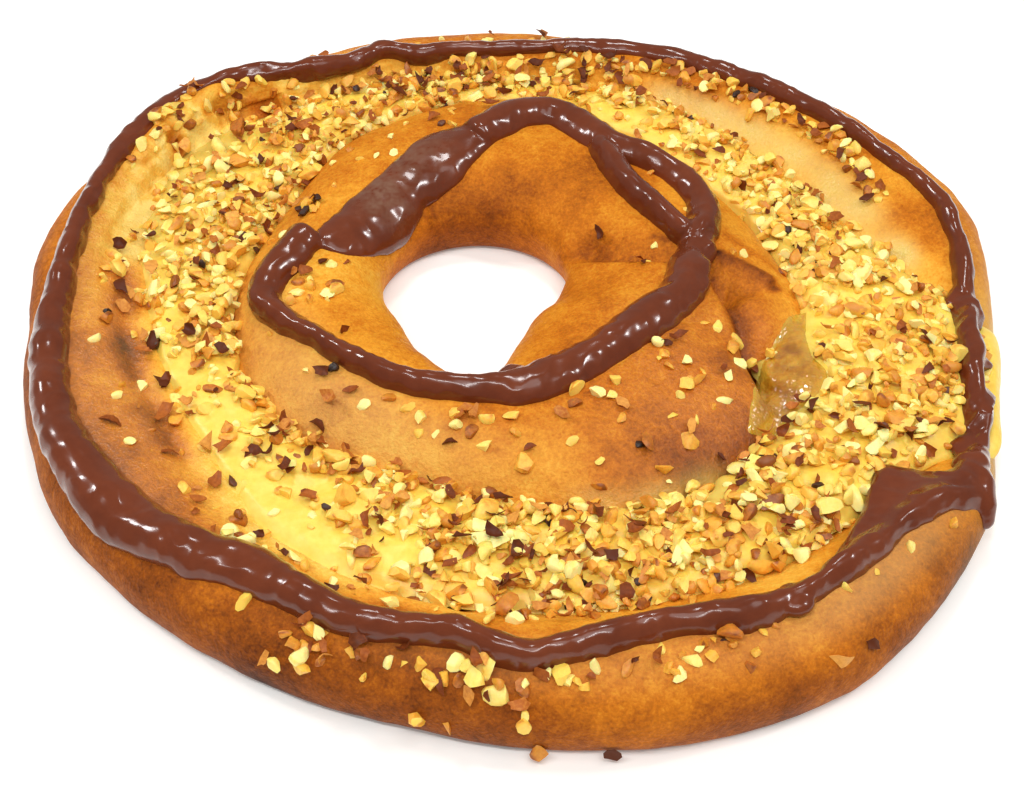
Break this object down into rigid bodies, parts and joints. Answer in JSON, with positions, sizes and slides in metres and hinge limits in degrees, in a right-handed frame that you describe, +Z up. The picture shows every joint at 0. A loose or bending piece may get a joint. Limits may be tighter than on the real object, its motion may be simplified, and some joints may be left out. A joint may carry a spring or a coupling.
{
  "type": "kringle",
  "caption": "Baked ring of yeast dough with a custard band between its rim and inner roll, chopped hazelnuts, piped chocolate icing and an open hole in the middle.",
  "frame": {"origin": "centre of the ring's box, on the surface it rests on", "axes": "+Z up, +X to the side where the ends of the dough strip join, +Y away from the viewer of the picture"},
  "size_m": [0.2781, 0.2836, 0.0321],
  "materials": {
    "dough": "golden baked crust, satin from an egg wash, browner on the rim",
    "custard": "smooth moist vanilla custard",
    "icing": "set milk chocolate icing, soft gloss",
    "nut_kernel": "chopped roasted hazelnut",
    "nut_skin": "roasted hazelnut skin"
  },
  "bodies": {
    "root": {"dough": "dough", "custard": "custard", "icing_outer": "icing", "icing_inner": "icing"}
  },
  "joints": []
}
